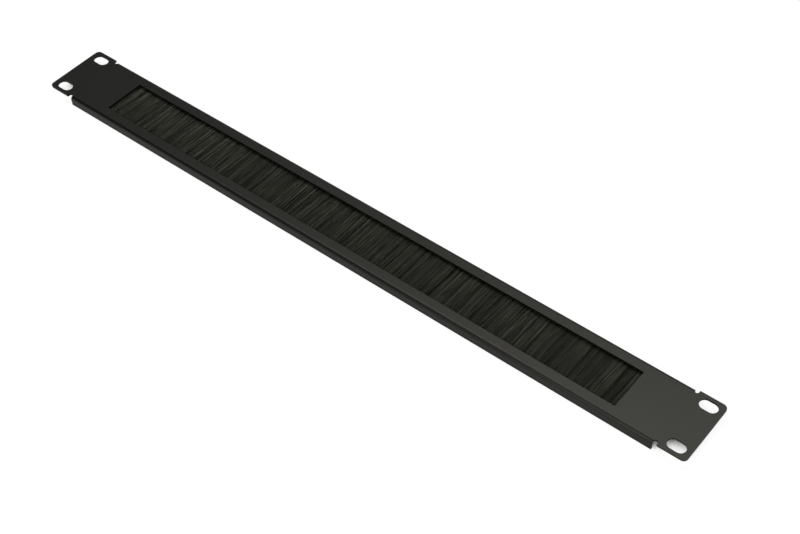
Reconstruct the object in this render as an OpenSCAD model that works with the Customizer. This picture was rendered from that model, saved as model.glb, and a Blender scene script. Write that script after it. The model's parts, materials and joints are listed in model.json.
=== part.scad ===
// 19-inch rack panel, one unit high, with a cable window closed by a brush strip.
// Lies face up: X along the rack's width, Y up in the rack, Z out of the rack.
// The origin is the centre of the four rack slots, on the back of the ears.

/* [Panel] */
// Overall width over the ears
panel_w = 482.6; // [460:0.1:520]
// Overall height, one rack unit less its gap
panel_h = 43.6; // [42:0.1:48]
// Sheet thickness
sheet_t = 1.2; // [1:0.1:1.6]
// Width of each flat ear
ear_w = 17.3; // [16:0.1:22]
// Corner radius of the ears
ear_corner_r = 3; // [1:0.25:5]
// How far the folded flanges stand behind the clips, so that these never touch a shelf
flange_cover = 0.25; // [0.1:0.05:8]
// Inside radius of the folds
bend_r = 1.2; // [0.8:0.1:1.6]
// Width of the relief notches between ears and flanges
relief_w = 2.7; // [2:0.1:4]
// How far the notches reach past the start of the fold
relief_past = 0.1; // [0.05:0.05:0.5]

/* [Rack slots] */
// Length of a slot, along the panel
slot_l = 11; // [9:0.25:12.5]
// Height of a slot
slot_h = 7; // [5.5:0.25:8]
// Slot centre to the end of the ear
slot_end_inset = 8.75; // [8:0.05:10]
// Slot centre to the long edge
slot_edge_inset = 5.925; // [5.5:0.025:7]

/* [Cable window] */
// Solid panel between the window and the end of the flanges
window_end_margin = 27.5; // [25:0.5:60]
// Panel left above and below the window
window_edge_margin = 7.6; // [7:0.1:10]

/* [Brush] */
// Height of the brush channel
channel_h = 5; // [4:0.1:5.2]
// Depth of the brush channel, behind the panel
channel_d = 4.2; // [3.8:0.1:4.3]
// Thickness of the channel's sheet
channel_t = 0.7; // [0.5:0.05:0.8]
// Outside radius of the channel's two corners
channel_corner_r = 1; // [0.8:0.1:1.2]
// Radius of the crimped lips that grip the bristles
lip_r = 0.4; // [0.2:0.05:0.5]
// Gap between the channel and the upper flange
channel_gap = 0.55; // [0.5:0.05:0.8]
// Diameter of the wire that the bristles are folded over
wire_d = 1.2; // [0.8:0.1:1.4]
// How far the bristle tips reach behind the lower margin
tips_past_window = 3.8; // [2:0.1:4.2]
// Gap between the bristle tips and the back of the panel
tip_clearance = 0.05; // [0.02:0.01:0.3]
// Pitch of the bristle clumps
clump_pitch = 5; // [4.5:0.25:8]
// Gap between neighbouring clumps at their roots
clump_gap = 0.4; // [0.35:0.05:0.8]
// Ridges on the outer face of a clump
clump_ridges = 5; // [3:1:6]
// Most that a clump leans sideways, in degrees
clump_lean = 0.8; // [0:0.1:0.9]
// Scatter of the bristle lengths
length_scatter = 0.5; // [0:0.1:0.6]

/* [Fixings] */
// Thickness of the end clips
clip_t = 1; // [0.8:0.05:1.1]
// Width of the end clips
clip_w = 9; // [8:0.25:10]
// Inside radius of the clips' bends
clip_bend_r = 0.5; // [0.3:0.1:0.8]
// Length of the clip's finger over the channel
finger_l = 9; // [6:0.5:14]
// Length of the clip's foot
foot_l = 11; // [10:0.25:11.5]
// Gap between the channel's end and the clip
clip_gap = 0.8; // [0.3:0.1:1]
// Gap between the clip's foot and the end of the flanges
foot_inset = 1.5; // [0.5:0.1:4]
// Diameter of the weld studs
stud_d = 3; // [2.5:0.1:3]
// How far a stud stands out of its nut
stud_past_nut = 1; // [0.5:0.1:1.2]
// Diameter of the studs' weld flange
stud_flange_d = 4.5; // [4:0.1:5]
// Thickness of the studs' weld flange
stud_flange_t = 0.7; // [0.5:0.1:0.8]
// Outside diameter of the washers
washer_d = 7; // [6.5:0.1:7.5]
// Thickness of the washers
washer_t = 0.5; // [0.3:0.1:0.6]
// Width of the nuts across their flats
nut_af = 5.5; // [5:0.1:6]
// Thickness of the nuts
nut_t = 2.4; // [1.8:0.1:2.4]
// Radial clearance of a hole round a stud
hole_clearance = 0.1; // [0.05:0.05:0.2]

/* [Hidden] */
$fn = 64;
bite = 1; // how far a cutter runs on past what it cuts

// Panel
fold_r = bend_r + sheet_t;
flange_end = panel_w / 2 - ear_w - relief_w;
fold_end = flange_end + 0.6 * relief_w; // the folded part and the ears overlap in the notches
ear_start = flange_end + 0.4 * relief_w;
flat_edge = panel_h / 2 - fold_r;
flange_depth = sheet_t + channel_d + clip_t + flange_cover;
flange_bottom = sheet_t - flange_depth;
slot_x = panel_w / 2 - slot_end_inset;
slot_y = panel_h / 2 - slot_edge_inset;
window_w = 2 * (flange_end - window_end_margin);
window_h = panel_h - 2 * window_edge_margin;

// Brush, with its channel under the upper flange and its tips behind the lower margin
clip_x = flange_end - foot_inset - foot_l;
brush_end = clip_x - clip_gap;
channel_top = panel_h / 2 - sheet_t - channel_gap;
mouth_y = channel_top - channel_h;
channel_floor = channel_top - channel_t;
throat_y = mouth_y + 2 * lip_r;
bundle_z = -channel_d / 2;
bundle_r = channel_d / 2 - channel_t;
wire_y = channel_floor - bundle_r;
mouth_half = bundle_r - lip_r;
tip_y = -window_h / 2 - tips_past_window;

// Bristle clumps, in three ranks from front to back
clump_count = floor((2 * brush_end - clump_gap) / clump_pitch);
clump_w = clump_pitch - clump_gap;
clump_t = mouth_half * 0.6;
ridge_d = clump_t * 0.55;
root_bite = 0.4;
rank_step = mouth_half - clump_t / 2;
rank_tilt = atan((mouth_half + bundle_z + tip_clearance) / (tip_y - mouth_y));

// Fixings
clip_y = flat_edge - clip_w / 2;
stud_x = clip_x + (foot_l + clip_t + clip_bend_r) / 2;
stud_l = clip_t + washer_t + nut_t + stud_past_nut;

// ---------- shared shapes ----------

// Extrudes a section drawn in Y and Z along X, the same way on both sides of the middle
module along_x(length) {
  rotate([90, 0, 90]) linear_extrude(length, center = true) children();
}

// The same thing at both ends of the panel
module both_ends() {
  children();
  mirror([1, 0, 0]) children();
}

// Both halves of a section that is symmetric about y = 0
module both_halves() {
  children();
  mirror([0, 1]) children();
}

// Rectangle with its corner at the origin rounded
module corner_block(w, h, r) {
  translate([r, 0]) square([w - r, h]);
  translate([0, r]) square([w, h - r]);
  translate([r, r]) circle(r);
}

// Sheet bent square, its two legs running from the outside corner at the origin
module angle_section(leg_a, leg_b, thickness, inner_r) {
  difference() {
    corner_block(leg_a, leg_b, inner_r + thickness);
    translate([thickness, thickness]) corner_block(leg_a + bite, leg_b + bite, inner_r);
  }
}

// ---------- folded panel ----------

// Web and both flanges; each half runs on past the middle
module fold_section() {
  for (side = [0, 1]) mirror([side, 0])
    translate([panel_h / 2, sheet_t]) rotate(180)
      angle_section(0.6 * panel_h, flange_depth, sheet_t, bend_r);
}

// The same sheet where it stays flat
module flat_section() {
  for (side = [0, 1]) mirror([side, 0]) square([panel_h / 2, sheet_t]);
}

module ear_outline() {
  straight = panel_w / 2 - ear_corner_r - ear_start;
  translate([ear_start, -panel_h / 2]) square([straight, panel_h]);
  translate([ear_start, ear_corner_r - panel_h / 2])
    square([straight + ear_corner_r, panel_h - 2 * ear_corner_r]);
  for (side = [-1, 1])
    translate([panel_w / 2 - ear_corner_r, side * (panel_h / 2 - ear_corner_r)]) circle(ear_corner_r);
}

module slot_outline() {
  straight = slot_l - slot_h;
  square([straight, slot_h], center = true);
  for (side = [-1, 1]) translate([side * straight / 2, 0]) circle(d = slot_h);
}

// Notch with a round root, which stops the fold tearing at the ear
module relief_outline() {
  translate([relief_w / 2, relief_w / 2]) circle(d = relief_w);
  translate([0, relief_w / 2]) square([relief_w, fold_r + bite]);
}

// What the blank is cut to before it is folded
module cut_outline() {
  square([window_w, window_h], center = true);
  both_ends() for (side = [0, 1]) mirror([0, side]) {
    translate([flange_end, flat_edge - relief_past]) relief_outline();
    translate([slot_x, slot_y]) slot_outline();
  }
}

module panel() color("#2c2b29") difference() {
  union() {
    along_x(2 * fold_end) fold_section();
    intersection() {
      along_x(panel_w) flat_section();
      translate([0, 0, -bite]) linear_extrude(sheet_t + 2 * bite) both_ends() ear_outline();
    }
  }
  translate([0, 0, flange_bottom - bite]) linear_extrude(flange_depth + 2 * bite) cut_outline();
}

// ---------- brush strip ----------

// U of steel sheet, open towards the window, with crimped lips
module channel_section() {
  translate([0, bundle_z]) both_halves() {
    translate([channel_top, channel_d / 2]) rotate(180)
      angle_section(channel_h, 0.6 * channel_d, channel_t, channel_corner_r - channel_t);
    translate([mouth_y + lip_r, bundle_r]) circle(lip_r);
  }
}

module brush_channel() color("#4a4b4c") along_x(2 * brush_end) channel_section();

module core_wire() color("#8a8c8e")
  translate([-brush_end, wire_y, bundle_z]) rotate([0, 90, 0]) cylinder(d = wire_d, h = 2 * brush_end);

// Roots of the bristles, folded over the wire and packed between the lips
module root_section() {
  difference() {
    translate([0, bundle_z]) both_halves() translate([channel_floor, bundle_r]) rotate(180)
      corner_block(channel_floor - throat_y, 1.2 * bundle_r, channel_corner_r - channel_t);
    translate([wire_y, bundle_z]) circle(d = wire_d);
  }
}

// Section of a clump in X and Z: a flat face, and a ridged one on the side that shows
function clump_outline(side) = concat(
  [[clump_w / 2, -clump_t / 2], [-clump_w / 2, -clump_t / 2]],
  side == 0 ? [[-clump_w / 2, clump_t / 2], [clump_w / 2, clump_t / 2]]
            : [for (i = [0:2 * clump_ridges])
                [clump_w * (i / (2 * clump_ridges) - 0.5), clump_t / 2 - ridge_d * (1 - i % 2)]]);

// Sideways lean of the clump at x, a slow wave that differs from rank to rank
function lean(x, side) = clump_lean * (0.75 * sin(5.2 * x + 110 * side) + 0.25 * sin(13 * x + 70 * side));

// One rank of clumps hanging from the channel; side is 1 in front, 0 in the middle, -1 behind
module clump_rank(side) {
  count = side == 0 ? clump_count - 1 : clump_count;
  scatter = rands(-length_scatter, length_scatter, count, 31 + side);
  for (i = [0:count - 1]) {
    x = clump_pitch * (i - (count - 1) / 2);
    translate([x, throat_y + root_bite, bundle_z + side * rank_step])
      rotate([90 - side * rank_tilt, 0, lean(x, side)])
        linear_extrude(throat_y + root_bite - tip_y + scatter[i])
          mirror([0, side < 0 ? 1 : 0]) polygon(clump_outline(side));
  }
}

module bristles() color("#1f1e1b") {
  along_x(2 * brush_end) root_section();
  for (side = [-1, 0, 1]) clump_rank(side);
}

// ---------- fixings ----------

// Section of a clip in X and Z: foot on the panel, step up, finger over the channel
module clip_section() {
  rise = channel_d + clip_t;
  translate([clip_x, 0]) mirror([0, 1]) angle_section(foot_l, 0.6 * rise, clip_t, clip_bend_r);
  translate([clip_x + clip_t, -rise]) mirror([1, 0])
    angle_section(clip_t + clip_gap + finger_l, 0.6 * rise, clip_t, clip_bend_r);
}

module clip() color("#9a9c9e") difference() {
  translate([0, clip_y + clip_w / 2, 0]) rotate([90, 0, 0]) linear_extrude(clip_w) clip_section();
  translate([stud_x, clip_y, -clip_t - bite])
    cylinder(d = stud_flange_d + 2 * hole_clearance, h = clip_t + 2 * bite);
}

module right_clip() clip();

module left_clip() mirror([1, 0, 0]) clip();

module weld_studs() color("#b08d57") both_ends() translate([stud_x, clip_y, 0]) {
  translate([0, 0, -stud_l]) cylinder(d = stud_d, h = stud_l);
  translate([0, 0, -stud_flange_t]) cylinder(d = stud_flange_d, h = stud_flange_t);
}

module washers() color("#a5a7a9") both_ends() translate([stud_x, clip_y, -clip_t - washer_t])
  difference() {
    cylinder(d = washer_d, h = washer_t);
    translate([0, 0, -bite]) cylinder(d = stud_d + 2 * hole_clearance, h = washer_t + 2 * bite);
  }

module nuts() color("#9d9fa1") both_ends() translate([stud_x, clip_y, -clip_t - washer_t - nut_t])
  difference() {
    cylinder(d = nut_af / cos(30), h = nut_t, $fn = 6);
    translate([0, 0, -bite]) cylinder(d = stud_d + 2 * hole_clearance, h = nut_t + 2 * bite);
  }

panel();
brush_channel();
core_wire();
bristles();
left_clip();
right_clip();
weld_studs();
washers();
nuts();
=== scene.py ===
"""Looks of the rack brush strip panel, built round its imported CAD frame.

The panel, channel, wire, clips and washers keep their CAD shapes and get
procedural materials. The brush is made filament by filament, and the studs and
nuts get their threads and chamfers. Lengths are in millimetres up to the last
step of each mesh, and z = 0 is the back of the panel's face.
"""

import json
import math

import bpy
import numpy as np
from mathutils import Matrix, Vector

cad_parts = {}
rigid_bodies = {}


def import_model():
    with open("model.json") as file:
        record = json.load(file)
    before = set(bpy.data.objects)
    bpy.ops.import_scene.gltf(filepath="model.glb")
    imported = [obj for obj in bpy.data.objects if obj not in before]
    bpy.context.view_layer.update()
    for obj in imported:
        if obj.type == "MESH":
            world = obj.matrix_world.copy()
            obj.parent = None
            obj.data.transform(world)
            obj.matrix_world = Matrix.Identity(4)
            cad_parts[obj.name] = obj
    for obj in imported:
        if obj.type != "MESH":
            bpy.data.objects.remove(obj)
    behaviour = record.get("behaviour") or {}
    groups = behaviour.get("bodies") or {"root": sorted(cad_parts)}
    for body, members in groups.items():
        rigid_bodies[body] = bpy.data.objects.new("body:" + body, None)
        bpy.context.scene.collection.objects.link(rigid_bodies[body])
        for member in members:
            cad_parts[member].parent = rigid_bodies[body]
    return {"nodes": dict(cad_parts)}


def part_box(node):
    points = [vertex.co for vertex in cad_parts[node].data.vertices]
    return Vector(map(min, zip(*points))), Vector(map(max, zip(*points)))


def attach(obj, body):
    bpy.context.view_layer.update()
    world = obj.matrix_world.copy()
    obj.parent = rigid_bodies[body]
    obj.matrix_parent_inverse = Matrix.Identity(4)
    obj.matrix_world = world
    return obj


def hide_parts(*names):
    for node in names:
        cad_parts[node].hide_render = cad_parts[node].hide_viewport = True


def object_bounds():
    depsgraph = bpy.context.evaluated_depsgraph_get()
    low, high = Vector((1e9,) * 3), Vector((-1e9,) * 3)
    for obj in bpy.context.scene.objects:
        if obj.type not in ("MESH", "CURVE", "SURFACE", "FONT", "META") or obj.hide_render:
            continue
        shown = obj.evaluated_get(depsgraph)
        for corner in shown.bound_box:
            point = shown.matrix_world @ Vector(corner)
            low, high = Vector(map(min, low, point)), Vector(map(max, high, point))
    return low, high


MM = 0.001
SEED = 19
UP = np.array([0.0, 0.0, 1.0])

# Camera: where it stands, the point that it looks at, its roll and its lens
CAMERA_AT = Vector((0.3961, -0.4175, 0.6059))
CAMERA_AIM = Vector((0.0424, -0.0067, 0.0012))
CAMERA_ROLL = math.radians(2.4)
LENS = 63.54
SENSOR = 36.0
# Level direction to the right of the view, along which the overhead and back lamps are wide
VIEW_RIGHT = Vector((0.758, 0.653, 0.0))

# Lamps: name, place, aim, the way that the width runs, width and height, radiance. All in metres
LAMPS = (
    ("overhead", (-0.25, 0.44, 1.30), (0.0, 0.0, 0.0), VIEW_RIGHT, (1.35, 0.64), 3.8),
    ("back", (-1.00, 0.86, 1.15), (0.0, 0.0, 0.0), VIEW_RIGHT, (1.20, 0.95), 0.31),
    ("front", (0.30, -1.05, 0.78), (0.10, 0.0, 0.0), (1.0, 0.0, 0.0), (0.95, 1.25), 3.2),
)
SURROUND = 0.06

# Floor: half its width and its backdrop's height
FLOOR_HALF = 4000.0
WALL_HEIGHT = 1000.0
# Floor: grey that light bounces from, and the faint grey that takes light where it is seen
FLOOR_GREY = 0.8
FAINT_GREY = 0.14
# Floor: how far, in metres, its shading looks for the object, and with how many rays
SHADOW_REACH = 0.03
SHADOW_SAMPLES = 8
# Floor: its white glow dims where the object closes it in, a painted shadow
# Floor: darkest and whitest, and the openness at which each is reached, seen directly and mirrored
VIEWED_WHITE_AND_PAINTED_SHADOW = (0.04, 0.92, 0.16, 0.34)
MIRRORED_WHITE_AND_PAINTED_SHADOW = (0.04, 0.68, 0.10, 1.00)

# Brush: one filament. Three sides are made a little wider, to look as wide as a round section
FILAMENT_D = 0.25
FILAMENT_D_SPREAD = 0.12
FILAMENT_RINGS = 5
FILAMENT_SIDES = 3
SIDES_SWELL = 1.15
# Brush: how many filaments each of its two halves holds
HALF_COUNT = 7500
# Brush: roots, by scatter along the strip, half the height of their row and depth in the mouth
ROOT_SCATTER = 0.4
ROOT_HALF_HEIGHT = 0.88
ROOT_DEPTH = 0.5
# Brush: tufts that the filaments gather into, the small ones within the large
SMALL_TUFT = 0.7
LARGE_TUFT = 6.5
TUFT_SCATTER = 0.3
SMALL_PULL = 0.30
LARGE_PULL = 0.05
# Brush: slow waves along the strip, by their shortest and longest length and their number
WAVE_SHORTEST, WAVE_LONGEST, WAVE_TERMS = 25, 90, 5
# Brush: sideways reach of the tips, by slow wave, tuft, filament and stray
WAVE_LEAN = 0.8
TUFT_LEAN = 0.32
OWN_LEAN = 0.25
STRAY_LEAN = 2.5
STRAY_SHARE = 0.03
# Brush: bow of a filament half-way, sideways and up
BOW = 0.20
OWN_BOW = 0.6
TUFT_RISE = 0.22
OWN_RISE = 0.12
RISE = 0.6
# Brush: height of the tips, by layer and by small and large tuft, and how far they fall short
LAYER_SPREAD = 0.86
SMALL_LIFT = 0.30
LARGE_LIFT = 0.12
TIP_LIFT = 0.7
TIP_SCATTER = 0.45
# Brush: clearance of the tips below the panel
TIP_CLEARANCE = 0.12
# Brush: how late along a filament its lean and its fall set in
LEAN_CURVE = 1.25
FALL_CURVE = 1.3
# Brush: shade of a filament, its spread by filament and by tuft, and painted light towards the root
SHADE, OWN_SHADE, TUFT_SHADE, LEAST_SHADE = 0.29, 0.19, 0.11, 0.02
# Painted light: roots made lighter, against the shade that the panel's far edge casts on them
PAINTED_ROOT_LIGHT = 1.1
PAINTED_ROOT_LIGHT_FADE = 8
# Brush: strands folded over the core wire
FOLD_PITCH = 0.5
FOLD_STRAND = 0.8
FOLD_SIDES = 5
FOLD_SQUEEZE = 0.62
FOLD_SCATTER = 0.08
FOLD_INSET = 0.2
FOLD_STEPS = 6
FOLD_SHADES = (0.2, 0.6)

# Studs: M3 thread and the flange of the weld
THREAD_MAJOR_R = 1.5
THREAD_MINOR_R = 1.19
THREAD_PITCH = 0.5
THREAD_LEVELS = 8
THREAD_GAP = 0.05
FLANGE_T = 0.7
FLANGE_CHAMFER = 0.1
# Studs: how steep and how flat the thread's crest is
CREST_SLOPE = 2.6
CREST_FLAT = 1.15
# Studs: length over which the thread fades in at the tip, what it starts with, and the tip's chamfer
LEAD_LENGTH = 0.35
LEAD_SHARE = 0.25
TIP_CHAMFER = 0.25
STUD_STEPS = 32

# Nuts: M3, width over flats, chamfered faces as a share of it, bore and countersink
NUT_FLATS = 5.5
NUT_FACE = 0.97
NUT_CHAMFER = math.radians(30)
NUT_BORE_R = 1.52
NUT_SINK = 0.22
NUT_STEPS = 96
# Nuts: how much wider than its flats a nut's box is taken to show its corners
CORNER_MARGIN = 0.1


# ---------------------------------------------------------------- node helpers

def new_material(name):
    """An empty node material with its Principled shader."""
    material = bpy.data.materials.new(name)
    material.use_nodes = True
    return material, material.node_tree, material.node_tree.nodes["Principled BSDF"]


def add_node(tree, kind, **inputs):
    """A node of that kind with its inputs set by name."""
    node = tree.nodes.new(kind)
    for name, value in inputs.items():
        node.inputs[name.replace("_", " ")].default_value = value
    return node


def place(tree, stretch):
    """The row frame's coordinates, scaled along each axis."""
    where = tree.nodes.new("ShaderNodeTexCoord")
    scaled = tree.nodes.new("ShaderNodeMapping")
    scaled.inputs["Scale"].default_value = stretch
    tree.links.new(where.outputs["Object"], scaled.inputs["Vector"])
    return scaled.outputs["Vector"]


def noise(tree, stretch, detail=2.0, rough=0.5):
    """Noise with one feature to each 1 / stretch metres along each axis."""
    node = add_node(tree, "ShaderNodeTexNoise", Scale=1.0, Detail=detail, Roughness=rough)
    tree.links.new(place(tree, stretch), node.inputs["Vector"])
    return node.outputs["Fac"]


def spread(tree, value, low, high, start=0.3, end=0.7):
    """value taken from start..end to low..high."""
    node = add_node(tree, "ShaderNodeMapRange", Value=0.0)
    node.inputs["From Min"].default_value = start
    node.inputs["From Max"].default_value = end
    node.inputs["To Min"].default_value = low
    node.inputs["To Max"].default_value = high
    tree.links.new(value, node.inputs["Value"])
    return node.outputs["Result"]


def mixed(tree, share, first, second):
    """Colour that goes from first to second with share."""
    node = tree.nodes.new("ShaderNodeMix")
    node.data_type = "RGBA"
    for name, colour in (("A", first), ("B", second)):
        socket = [s for s in node.inputs if s.name == name and s.type == "RGBA"][0]
        if isinstance(colour, tuple):
            socket.default_value = (*colour, 1.0)
        else:
            tree.links.new(colour, socket)
    tree.links.new(share, node.inputs["Factor"])
    return [s for s in node.outputs if s.type == "RGBA"][0]


def product(tree, first, second):
    """first times second."""
    node = tree.nodes.new("ShaderNodeMath")
    node.operation = "MULTIPLY"
    for socket, value in zip(node.inputs, (first, second)):
        tree.links.new(value, socket)
    return node.outputs["Value"]


def bumped(tree, shader, height, depth):
    """Bump of the given depth in metres on the shader."""
    node = add_node(tree, "ShaderNodeBump", Strength=1.0, Distance=depth)
    tree.links.new(height, node.inputs["Height"])
    tree.links.new(node.outputs["Normal"], shader.inputs["Normal"])


def dress(tree, shader, colour, roughness, **plain):
    """The shader's colour and roughness from nodes, and its other inputs set by name."""
    tree.links.new(colour, shader.inputs["Base Color"])
    tree.links.new(roughness, shader.inputs["Roughness"])
    for name, value in plain.items():
        shader.inputs[name.replace("_", " ")].default_value = value


# ------------------------------------------------------------------- materials

def powder_coat():
    """Black polyester powder on steel: even, with a fine orange-peel grain."""
    material, tree, shader = new_material("black_powder_coat")
    broad = noise(tree, (9, 9, 9), 3.0)
    grain = noise(tree, (2600, 2600, 2600), 2.0)
    colour = mixed(tree, spread(tree, broad, 0.0, 1.0), (0.0024, 0.0024, 0.0022), (0.0036, 0.0036, 0.0033))
    dress(tree, shader, colour, spread(tree, grain, 0.33, 0.41),
          Specular_IOR_Level=0.34, Specular_Tint=(1.0, 0.985, 0.87, 1.0))
    bumped(tree, shader, grain, 0.000012)
    return material


def nylon():
    """Black nylon filament, warm and slightly dusty, each with its own shade; painted light lifts it at
    the root.
    """
    material, tree, shader = new_material("black_nylon")
    # The shade attribute holds each filament's own tone and, on the brush, painted light at its root
    own = tree.nodes.new("ShaderNodeAttribute")
    own.attribute_name = "shade"
    along = noise(tree, (900, 45, 900), 2.0)
    share = product(tree, own.outputs["Fac"], spread(tree, along, 0.35, 1.0))
    colour = mixed(tree, share, (0.0110, 0.0113, 0.0090), (0.1640, 0.1680, 0.1310))
    dress(tree, shader, colour, spread(tree, along, 0.40, 0.58),
          Specular_IOR_Level=0.12, Specular_Tint=(1.0, 0.99, 0.82, 1.0))
    return material


def galvanised():
    """Galvanised strip: pale grey with faint spangle."""
    material, tree, shader = new_material("galvanised_strip")
    cells = add_node(tree, "ShaderNodeTexVoronoi", Scale=1.0)
    tree.links.new(place(tree, (260, 260, 260)), cells.inputs["Vector"])
    bright = tree.nodes.new("ShaderNodeSeparateColor")
    tree.links.new(cells.outputs["Color"], bright.inputs["Color"])
    colour = mixed(tree, bright.outputs["Red"], (0.42, 0.43, 0.44), (0.56, 0.57, 0.58))
    fine = noise(tree, (60, 1500, 1500), 3.0)
    dress(tree, shader, colour, spread(tree, fine, 0.32, 0.46), Metallic=1.0)
    bumped(tree, shader, fine, 0.000006)
    return material


def drawn_wire():
    """Bright drawn steel wire, with drawing lines along it."""
    material, tree, shader = new_material("drawn_wire")
    lines = noise(tree, (12, 5200, 5200), 3.0)
    colour = mixed(tree, spread(tree, lines, 0.0, 1.0), (0.36, 0.35, 0.34), (0.50, 0.49, 0.48))
    dress(tree, shader, colour, spread(tree, lines, 0.24, 0.38), Metallic=1.0)
    return material


def zinc_plate():
    """Clear zinc plating on steel: bright, with a cool cast and soft clouding."""
    material, tree, shader = new_material("zinc_plating")
    cloud = noise(tree, (240, 240, 240), 4.0)
    brush = noise(tree, (90, 2600, 2600), 2.0)
    colour = mixed(tree, spread(tree, cloud, 0.0, 1.0), (0.52, 0.54, 0.57), (0.66, 0.67, 0.68))
    dress(tree, shader, colour, spread(tree, brush, 0.22, 0.36), Metallic=1.0)
    bumped(tree, shader, brush, 0.000005)
    return material


def largest(tree, *values):
    """The largest of some numbers."""
    result = values[0]
    for value in values[1:]:
        node = tree.nodes.new("ShaderNodeMath")
        node.operation = "MAXIMUM"
        tree.links.new(result, node.inputs[0])
        tree.links.new(value, node.inputs[1])
        result = node.outputs["Value"]
    return result


def floor_material():
    """White seen and mirrored, with painted and faint real shadow beside and beneath the object."""
    material = bpy.data.materials.new("white_floor")
    material.use_nodes = True
    tree = material.node_tree
    tree.nodes.clear()
    paths = tree.nodes.new("ShaderNodeLightPath")
    seen = largest(tree, *(paths.outputs[f"Is {ray} Ray"] for ray in ("Camera", "Glossy", "Transmission")))
    open_sky = add_node(tree, "ShaderNodeAmbientOcclusion", Distance=SHADOW_REACH)
    open_sky.samples = SHADOW_SAMPLES
    plain = add_node(tree, "ShaderNodeBsdfDiffuse", Color=(FLOOR_GREY, FLOOR_GREY, FLOOR_GREY, 1.0))
    faint = add_node(tree, "ShaderNodeBsdfDiffuse", Color=(FAINT_GREY, FAINT_GREY, FAINT_GREY, 1.0))
    white = add_node(tree, "ShaderNodeEmission")
    # Painted shadow: the floor's white glow is dimmed by occlusion near and under the object
    viewed = spread(tree, open_sky.outputs["AO"], *VIEWED_WHITE_AND_PAINTED_SHADOW)
    mirrored = spread(tree, open_sky.outputs["AO"], *MIRRORED_WHITE_AND_PAINTED_SHADOW)
    strength = tree.nodes.new("ShaderNodeMix")
    tree.links.new(paths.outputs["Is Camera Ray"], strength.inputs["Factor"])
    tree.links.new(mirrored, strength.inputs["A"])
    tree.links.new(viewed, strength.inputs["B"])
    tree.links.new(strength.outputs["Result"], white.inputs["Strength"])
    shown = tree.nodes.new("ShaderNodeAddShader")
    tree.links.new(faint.outputs[0], shown.inputs[0])
    tree.links.new(white.outputs[0], shown.inputs[1])
    choice = tree.nodes.new("ShaderNodeMixShader")
    tree.links.new(seen, choice.inputs[0])
    tree.links.new(plain.outputs[0], choice.inputs[1])
    tree.links.new(shown.outputs[0], choice.inputs[2])
    output = tree.nodes.new("ShaderNodeOutputMaterial")
    tree.links.new(choice.outputs[0], output.inputs["Surface"])
    return material


# ----------------------------------------------------------------- mesh helpers

def to_object(name, points, faces, material, smooth=True):
    """A mesh object from points in millimetres and faces."""
    mesh = bpy.data.meshes.new(name)
    mesh.from_pydata((np.asarray(points) * MM).tolist(), [], [list(f) for f in faces])
    mesh.materials.append(material)
    if smooth:
        mesh.shade_smooth()
    else:
        mesh.shade_flat()
    mesh.update()
    piece = bpy.data.objects.new(name, mesh)
    bpy.context.scene.collection.objects.link(piece)
    return piece


def unit(vectors):
    """The vectors, each 1 long."""
    return vectors / np.linalg.norm(vectors, axis=2, keepdims=True)


def tubes(paths, across, over, radii, sides, first_angle=0.0):
    """Points and faces of one closed tube round each path. paths is (count, rings, 3).

    Each ring is turned from across to over. The faces point outwards where across x over runs
    along the path, and inwards where it runs against it.
    """
    count, rings, _ = paths.shape
    angle = 2 * np.pi * np.arange(sides) / sides + first_angle
    ring = (
        across[:, :, None, :] * np.cos(angle)[None, None, :, None]
        + over[:, :, None, :] * np.sin(angle)[None, None, :, None]
    )
    points = paths[:, :, None, :] + ring * radii[:, None, None, None]
    start = np.arange(count)[:, None, None] * rings * sides
    near = start + np.arange(rings - 1)[None, :, None] * sides
    far = near + sides
    column = np.arange(sides)[None, None, :]
    right = (column + 1) % sides
    quads = np.stack([near + column, near + right, far + right, far + column], -1).reshape(-1, 4)
    first = np.arange(count)[:, None] * rings * sides + np.arange(sides)[None, ::-1]
    last = np.arange(count)[:, None] * rings * sides + (rings - 1) * sides + np.arange(sides)[None, :]
    return points.reshape(-1, 3), quads.tolist() + first.tolist() + last.tolist()


def give_shade(piece, shades, repeats):
    """The shade attribute on the piece's points, from one value for every so many of them."""
    worn = piece.data.attributes.new("shade", "FLOAT", "POINT")
    worn.data.foreach_set("value", np.repeat(shades, repeats).astype(np.float32))


def box_mm(node):
    """The node's lowest and highest corners in millimetres."""
    low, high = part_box(node)
    return np.array(low) / MM, np.array(high) / MM


# ----------------------------------------------------------------------- brush

def slow_wave(x, random, shortest, longest, terms):
    """A smooth curve over x with values of about -1 to 1."""
    lengths = random.uniform(shortest, longest, terms)
    phases = random.uniform(0, 2 * np.pi, terms)
    waves = np.sin(2 * np.pi * x[:, None] / lengths[None, :] + phases[None, :])
    return waves.sum(1) / math.sqrt(terms)


def tuft_of(x, pitch, random, low, high):
    """For each filament, the middle of its tuft and the tuft's number."""
    edges = np.arange(low, high + pitch, pitch)
    middles = edges[:-1] + pitch / 2 + random.uniform(-TUFT_SCATTER, TUFT_SCATTER, len(edges) - 1) * pitch
    number = np.abs(x[:, None] - middles[None, :]).argmin(1)
    return middles[number], number, len(middles)


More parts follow.
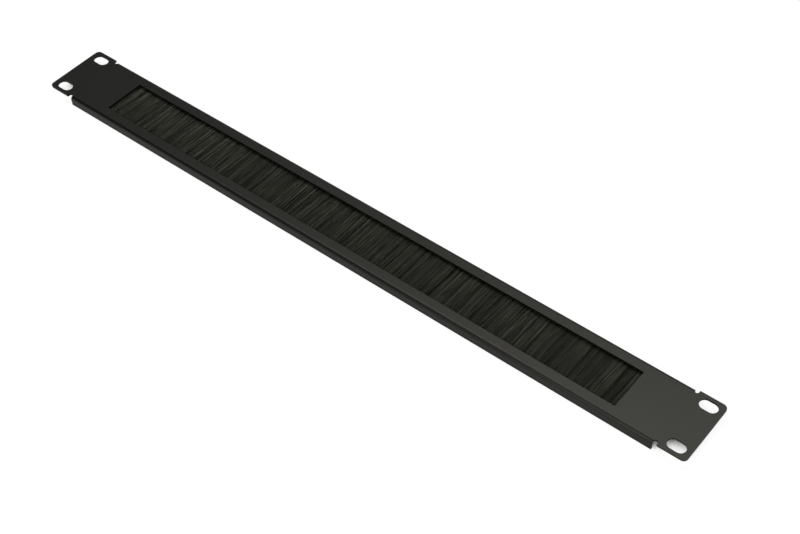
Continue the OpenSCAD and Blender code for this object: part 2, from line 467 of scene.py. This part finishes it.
def filament_paths(low, high, random):
    """Paths, radii and shades of every filament of the brush."""
    bristle_low, _ = box_mm("bristles")
    channel_low, _ = box_mm("brush_channel")
    wire_low, wire_high = box_mm("core_wire")
    wire_z = (wire_low[2] + wire_high[2]) / 2
    count = 2 * HALF_COUNT
    edge = FILAMENT_D
    x = np.linspace(low + edge, high - edge, count) + random.uniform(-ROOT_SCATTER, ROOT_SCATTER, count)
    x = x.clip(low + edge, high - edge)
    layer = random.uniform(-1, 1, count)
    looseness = (0.5 + 0.5 * layer) ** 2
    small_at, small_no, smalls = tuft_of(x, SMALL_TUFT, random, low, high)
    large_at, large_no, larges = tuft_of(x, LARGE_TUFT, random, low, high)

    def by_filament():
        return random.normal(0, 1, count)

    def by_small_tuft():
        return random.normal(0, 1, smalls)[small_no]

    reach = (
        WAVE_LEAN * slow_wave(x, random, WAVE_SHORTEST, WAVE_LONGEST, WAVE_TERMS)
        + OWN_LEAN * by_filament()
        + looseness * TUFT_LEAN * by_small_tuft()
        + looseness * SMALL_PULL * (small_at - x)
        + looseness * LARGE_PULL * (large_at - x)
    )
    stray = random.random(count) < STRAY_SHARE
    reach = reach + stray * by_filament() * STRAY_LEAN
    tuft_lift = SMALL_LIFT * by_small_tuft() + LARGE_LIFT * random.normal(0, 1, larges)[large_no]
    bow_side = BOW * (by_filament() * OWN_BOW + looseness * by_small_tuft())
    bow_up = TUFT_RISE * by_small_tuft() + OWN_RISE * by_filament()
    tip_y = bristle_low[1] + FILAMENT_D / 2 + TIP_SCATTER * random.random(count)
    tip_low = bristle_low[2] + FILAMENT_D
    tip_high = -TIP_CLEARANCE - FILAMENT_D / 2
    middle = (tip_low + tip_high) / 2
    tip_z = middle + (tip_high - middle) * (LAYER_SPREAD * layer) + TIP_LIFT * tuft_lift
    tip_z = tip_z.clip(tip_low, tip_high)
    root_z = wire_z + ROOT_HALF_HEIGHT * layer
    root_y = channel_low[1] + ROOT_DEPTH

    along = np.linspace(0, 1, FILAMENT_RINGS)[None, :]
    arch = 4 * along * (1 - along)
    px = x[:, None] + reach[:, None] * along ** LEAN_CURVE + bow_side[:, None] * arch
    py = root_y + (tip_y[:, None] - root_y) * along
    pz = root_z[:, None] + (tip_z - root_z)[:, None] * along ** FALL_CURVE + bow_up[:, None] * arch * RISE
    pz = np.minimum(pz, -TIP_CLEARANCE - FILAMENT_D / 2)
    pz = np.maximum(pz, bristle_low[2] + FILAMENT_D / 2)
    px = px.clip(low + edge / 2, high - edge / 2)
    radii = FILAMENT_D / 2 * SIDES_SWELL * (1 + FILAMENT_D_SPREAD * by_filament().clip(-2, 2))
    shade = SHADE + OWN_SHADE * by_filament() + TUFT_SHADE * by_small_tuft()
    # Painted light: each filament is lightened towards its root, against the shade under the panel's far
    # edge
    shade = shade.clip(LEAST_SHADE, 1)[:, None] * (1 + PAINTED_ROOT_LIGHT * (1 - along) ** PAINTED_ROOT_LIGHT_FADE)
    return np.stack([px, py, pz], -1), radii, shade


def add_brush(material):
    """The brush's two halves, filament by filament."""
    random = np.random.default_rng(SEED)
    low, high = box_mm("bristles")
    paths, radii, shade = filament_paths(low[0], high[0], random)
    order = np.argsort(paths[:, 0, 0], kind="stable")
    halves = []
    for name, part in (("bristles_left", order[:HALF_COUNT]), ("bristles_right", order[HALF_COUNT:])):
        along = unit(np.gradient(paths[part], axis=1))
        across = unit(np.cross(along, UP))
        over = np.cross(across, along)
        points, faces = tubes(paths[part], across, over, radii[part], FILAMENT_SIDES, np.pi / 2)
        piece = to_object(name, points, faces, material)
        give_shade(piece, shade[part].ravel(), FILAMENT_SIDES)
        halves.append(piece)
    return halves


def add_fold(material):
    """The bundle's roots, folded over the core wire in the channel."""
    random = np.random.default_rng(SEED + 1)
    low, high = box_mm("bristles")
    wire_low, wire_high = box_mm("core_wire")
    channel_low, _ = box_mm("brush_channel")
    wire_y, wire_z = (wire_low[1] + wire_high[1]) / 2, (wire_low[2] + wire_high[2]) / 2
    turn_r = (wire_high[2] - wire_low[2]) / 2 + FOLD_STRAND / 2
    xs = np.arange(low[0] + FOLD_STRAND / 2, high[0] - FOLD_STRAND / 2, FOLD_PITCH)
    front = channel_low[1] + FOLD_INSET
    turn = np.linspace(-np.pi / 2, np.pi / 2, FOLD_STEPS)
    ys = np.concatenate([[front], wire_y + turn_r * np.cos(turn), [front]])
    zs = np.concatenate([[wire_z - turn_r], wire_z + turn_r * np.sin(turn), [wire_z + turn_r]])
    paths = np.zeros((len(xs), len(ys), 3))
    paths[:, :, 0] = xs[:, None] + random.uniform(-FOLD_SCATTER, FOLD_SCATTER, (len(xs), len(ys)))
    paths[:, :, 1] = ys[None, :]
    paths[:, :, 2] = zs[None, :]
    # The rings turn with the path in the Y-Z plane only, and are squeezed along the strip
    along = np.gradient(paths, axis=1)
    along[:, :, 0] = 0
    along = unit(along)
    across = np.broadcast_to(np.array([1.0, 0.0, 0.0]), along.shape)
    radii = np.full(len(xs), FOLD_STRAND / 2)
    points, faces = tubes(paths, FOLD_SQUEEZE * across, np.cross(along, across), radii, FOLD_SIDES)
    piece = to_object("bristle_fold", points, faces, material)
    give_shade(piece, random.uniform(*FOLD_SHADES, len(xs)), len(ys) * FOLD_SIDES)
    return piece


# -------------------------------------------------------------------- fasteners

def revolve(profile_at, steps, closed):
    """Points and faces of a profile turned about z. profile_at(angle) gives (r, z) pairs.

    A profile that runs down outside the axis gives faces that point inwards.
    """
    rows = []
    for k in range(steps):
        angle = 2 * math.pi * k / steps
        rows.append([(r * math.cos(angle), r * math.sin(angle), z) for r, z in profile_at(angle)])
    length = len(rows[0])
    points = [p for row in rows for p in row]
    faces = []
    for k in range(steps):
        n = (k + 1) % steps
        for j in range(length if closed else length - 1):
            m = (j + 1) % length
            faces.append([k * length + j, n * length + j, n * length + m, k * length + m])
    if not closed:
        faces.append([k * length for k in reversed(range(steps))])
        faces.append([k * length + length - 1 for k in range(steps)])
    return points, faces


def twins(points, faces, centre, reach):
    """The same shape twice, at +reach and -reach along x."""
    points = np.array(points)
    both = np.concatenate([points + np.array([reach, *centre]), points + np.array([-reach, *centre])])
    count = len(points)
    return both, faces + [[i + count for i in f] for f in faces]


def add_studs(material):
    """The two weld studs with their threads."""
    low, high = box_mm("weld_studs")
    flange_r = (high[1] - low[1]) / 2
    reach = high[0] - flange_r
    length = high[2] - low[2]
    levels = int((length - FLANGE_T) / THREAD_PITCH * THREAD_LEVELS)

    def profile(angle):
        rim = [
            (flange_r, 0.0), (flange_r, -FLANGE_T + FLANGE_CHAMFER),
            (flange_r - FLANGE_CHAMFER, -FLANGE_T), (THREAD_MINOR_R, -FLANGE_T),
        ]
        rows = []
        for k in range(levels + 1):
            z = -FLANGE_T - THREAD_GAP - (length - FLANGE_T - THREAD_GAP) * k / levels
            turn = (z / THREAD_PITCH + angle / (2 * math.pi)) % 1
            crest = max(0.0, 1 - abs(turn - 0.5) * CREST_SLOPE)
            taper = min(1.0, (z + length) / LEAD_LENGTH + LEAD_SHARE)
            height = (THREAD_MAJOR_R - THREAD_MINOR_R) * min(1.0, crest * CREST_FLAT) * taper
            rows.append((THREAD_MINOR_R + height, z))
        rows.append((THREAD_MINOR_R - TIP_CHAMFER, -length))
        return rim + rows

    points, faces = revolve(profile, STUD_STEPS, False)
    points, faces = twins(points, faces, (low[1] + flange_r, high[2]), reach)
    return to_object("threaded_studs", points, faces, material, smooth=False)


def add_nuts(material):
    """The two hexagon nuts with chamfered corners and countersunk bores."""
    low, high = box_mm("nuts")
    flat = min(high[1] - low[1], NUT_FLATS) / 2
    thick = high[2] - low[2]
    wide_y = (high[1] - low[1]) / 2 > flat + CORNER_MARGIN
    corner = flat / math.cos(math.pi / 6)
    across_x = flat if wide_y else corner
    reach = high[0] - across_x
    face_r = flat * NUT_FACE
    slope = math.tan(NUT_CHAMFER)
    turn = 0.0 if wide_y else math.pi / 6

    def profile(angle):
        local = (angle + turn + math.pi / 6) % (math.pi / 3) - math.pi / 6
        rim = flat / math.cos(local)
        drop = max(0.0, (rim - face_r) * slope)
        return [
            (NUT_BORE_R, NUT_SINK - thick), (NUT_BORE_R, -NUT_SINK),
            (NUT_BORE_R + NUT_SINK, 0.0), (face_r, 0.0),
            (rim, -drop), (rim, drop - thick),
            (face_r, -thick), (NUT_BORE_R + NUT_SINK, -thick),
        ]

    points, faces = revolve(profile, NUT_STEPS, True)
    points, faces = twins(points, faces, ((low[1] + high[1]) / 2, high[2]), reach)
    return to_object("hexagon_nuts", points, faces, material, smooth=False)


# ------------------------------------------------------------------------ stage

def add_camera():
    """The camera at the viewing angle of the reference."""
    data = bpy.data.cameras.new("camera")
    data.lens = LENS
    data.sensor_width = SENSOR
    data.clip_start = 0.01
    camera = bpy.data.objects.new("camera", data)
    bpy.context.scene.collection.objects.link(camera)
    turn = (CAMERA_AIM - CAMERA_AT).to_track_quat("-Z", "Y").to_matrix().to_4x4()
    camera.matrix_world = Matrix.Translation(CAMERA_AT) @ turn @ Matrix.Rotation(-CAMERA_ROLL, 4, "Z")
    bpy.context.scene.camera = camera


def add_softbox(name, at, aim, level, size, radiance):
    """A soft rectangular lamp, hidden from the camera. level is the way that its width runs."""
    data = bpy.data.lights.new(name, "AREA")
    data.shape = "RECTANGLE"
    data.size, data.size_y = size
    data.energy = radiance * math.pi * size[0] * size[1]
    lamp = bpy.data.objects.new(name, data)
    bpy.context.scene.collection.objects.link(lamp)
    back = (Vector(at) - Vector(aim)).normalized()
    over = back.cross(Vector(level)).normalized()
    along = over.cross(back)
    facing = Matrix((along, over, back)).transposed().to_4x4()
    lamp.matrix_world = Matrix.Translation(Vector(at)) @ facing
    lamp.visible_camera = False


def add_world(strength):
    """A dim, even surround."""
    world = bpy.data.worlds.new("surround")
    bpy.context.scene.world = world
    world.use_nodes = True
    back = world.node_tree.nodes["Background"]
    back.inputs["Color"].default_value = (1.0, 1.0, 1.0, 1.0)
    back.inputs["Strength"].default_value = strength


def add_floor(level):
    """The floor that the panel lies on, with a low backdrop round it."""
    white = floor_material()
    half = FLOOR_HALF
    square = [(-half, -half), (half, -half), (half, half), (-half, half)]
    low = [(x, y, level) for x, y in square]
    high = [(x, y, level + WALL_HEIGHT) for x, y in square]
    floor = to_object("floor", low, [[0, 1, 2, 3]], white, smooth=False)
    sides = [[k, (k + 1) % 4, (k + 1) % 4 + 4, k + 4] for k in range(4)]
    backdrop = to_object("backdrop", low + high, sides, white, smooth=False)


# ------------------------------------------------------------------------- main

def clear_scene():
    """Takes away what a new file starts with."""
    for item in list(bpy.data.objects):
        bpy.data.objects.remove(item)


clear_scene()
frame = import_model()
cad_bounds = [list(corner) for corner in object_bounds()]

coat, filament, strip = powder_coat(), nylon(), galvanised()
wire_finish, zinc = drawn_wire(), zinc_plate()
finishes = {
    "panel": coat, "brush_channel": strip, "core_wire": wire_finish,
    "left_clip": zinc, "right_clip": zinc, "washers": zinc,
}
for node_name, finish in finishes.items():
    mesh = frame["nodes"][node_name].data
    mesh.materials.clear()
    mesh.materials.append(finish)

pieces = [(piece, "bristles", "bristle_nylon") for piece in [*add_brush(filament), add_fold(filament)]]
pieces += [(add_studs(zinc), "weld_studs", "zinc_steel"), (add_nuts(zinc), "nuts", "zinc_steel")]
for piece, node_name, slot_name in pieces:
    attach(piece, "root")
    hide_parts(node_name)

add_camera()
add_world(SURROUND)
for lamp in LAMPS:
    add_softbox(*lamp)
add_floor(cad_bounds[0][2] / MM)
bpy.context.scene.view_settings.view_transform = "Standard"
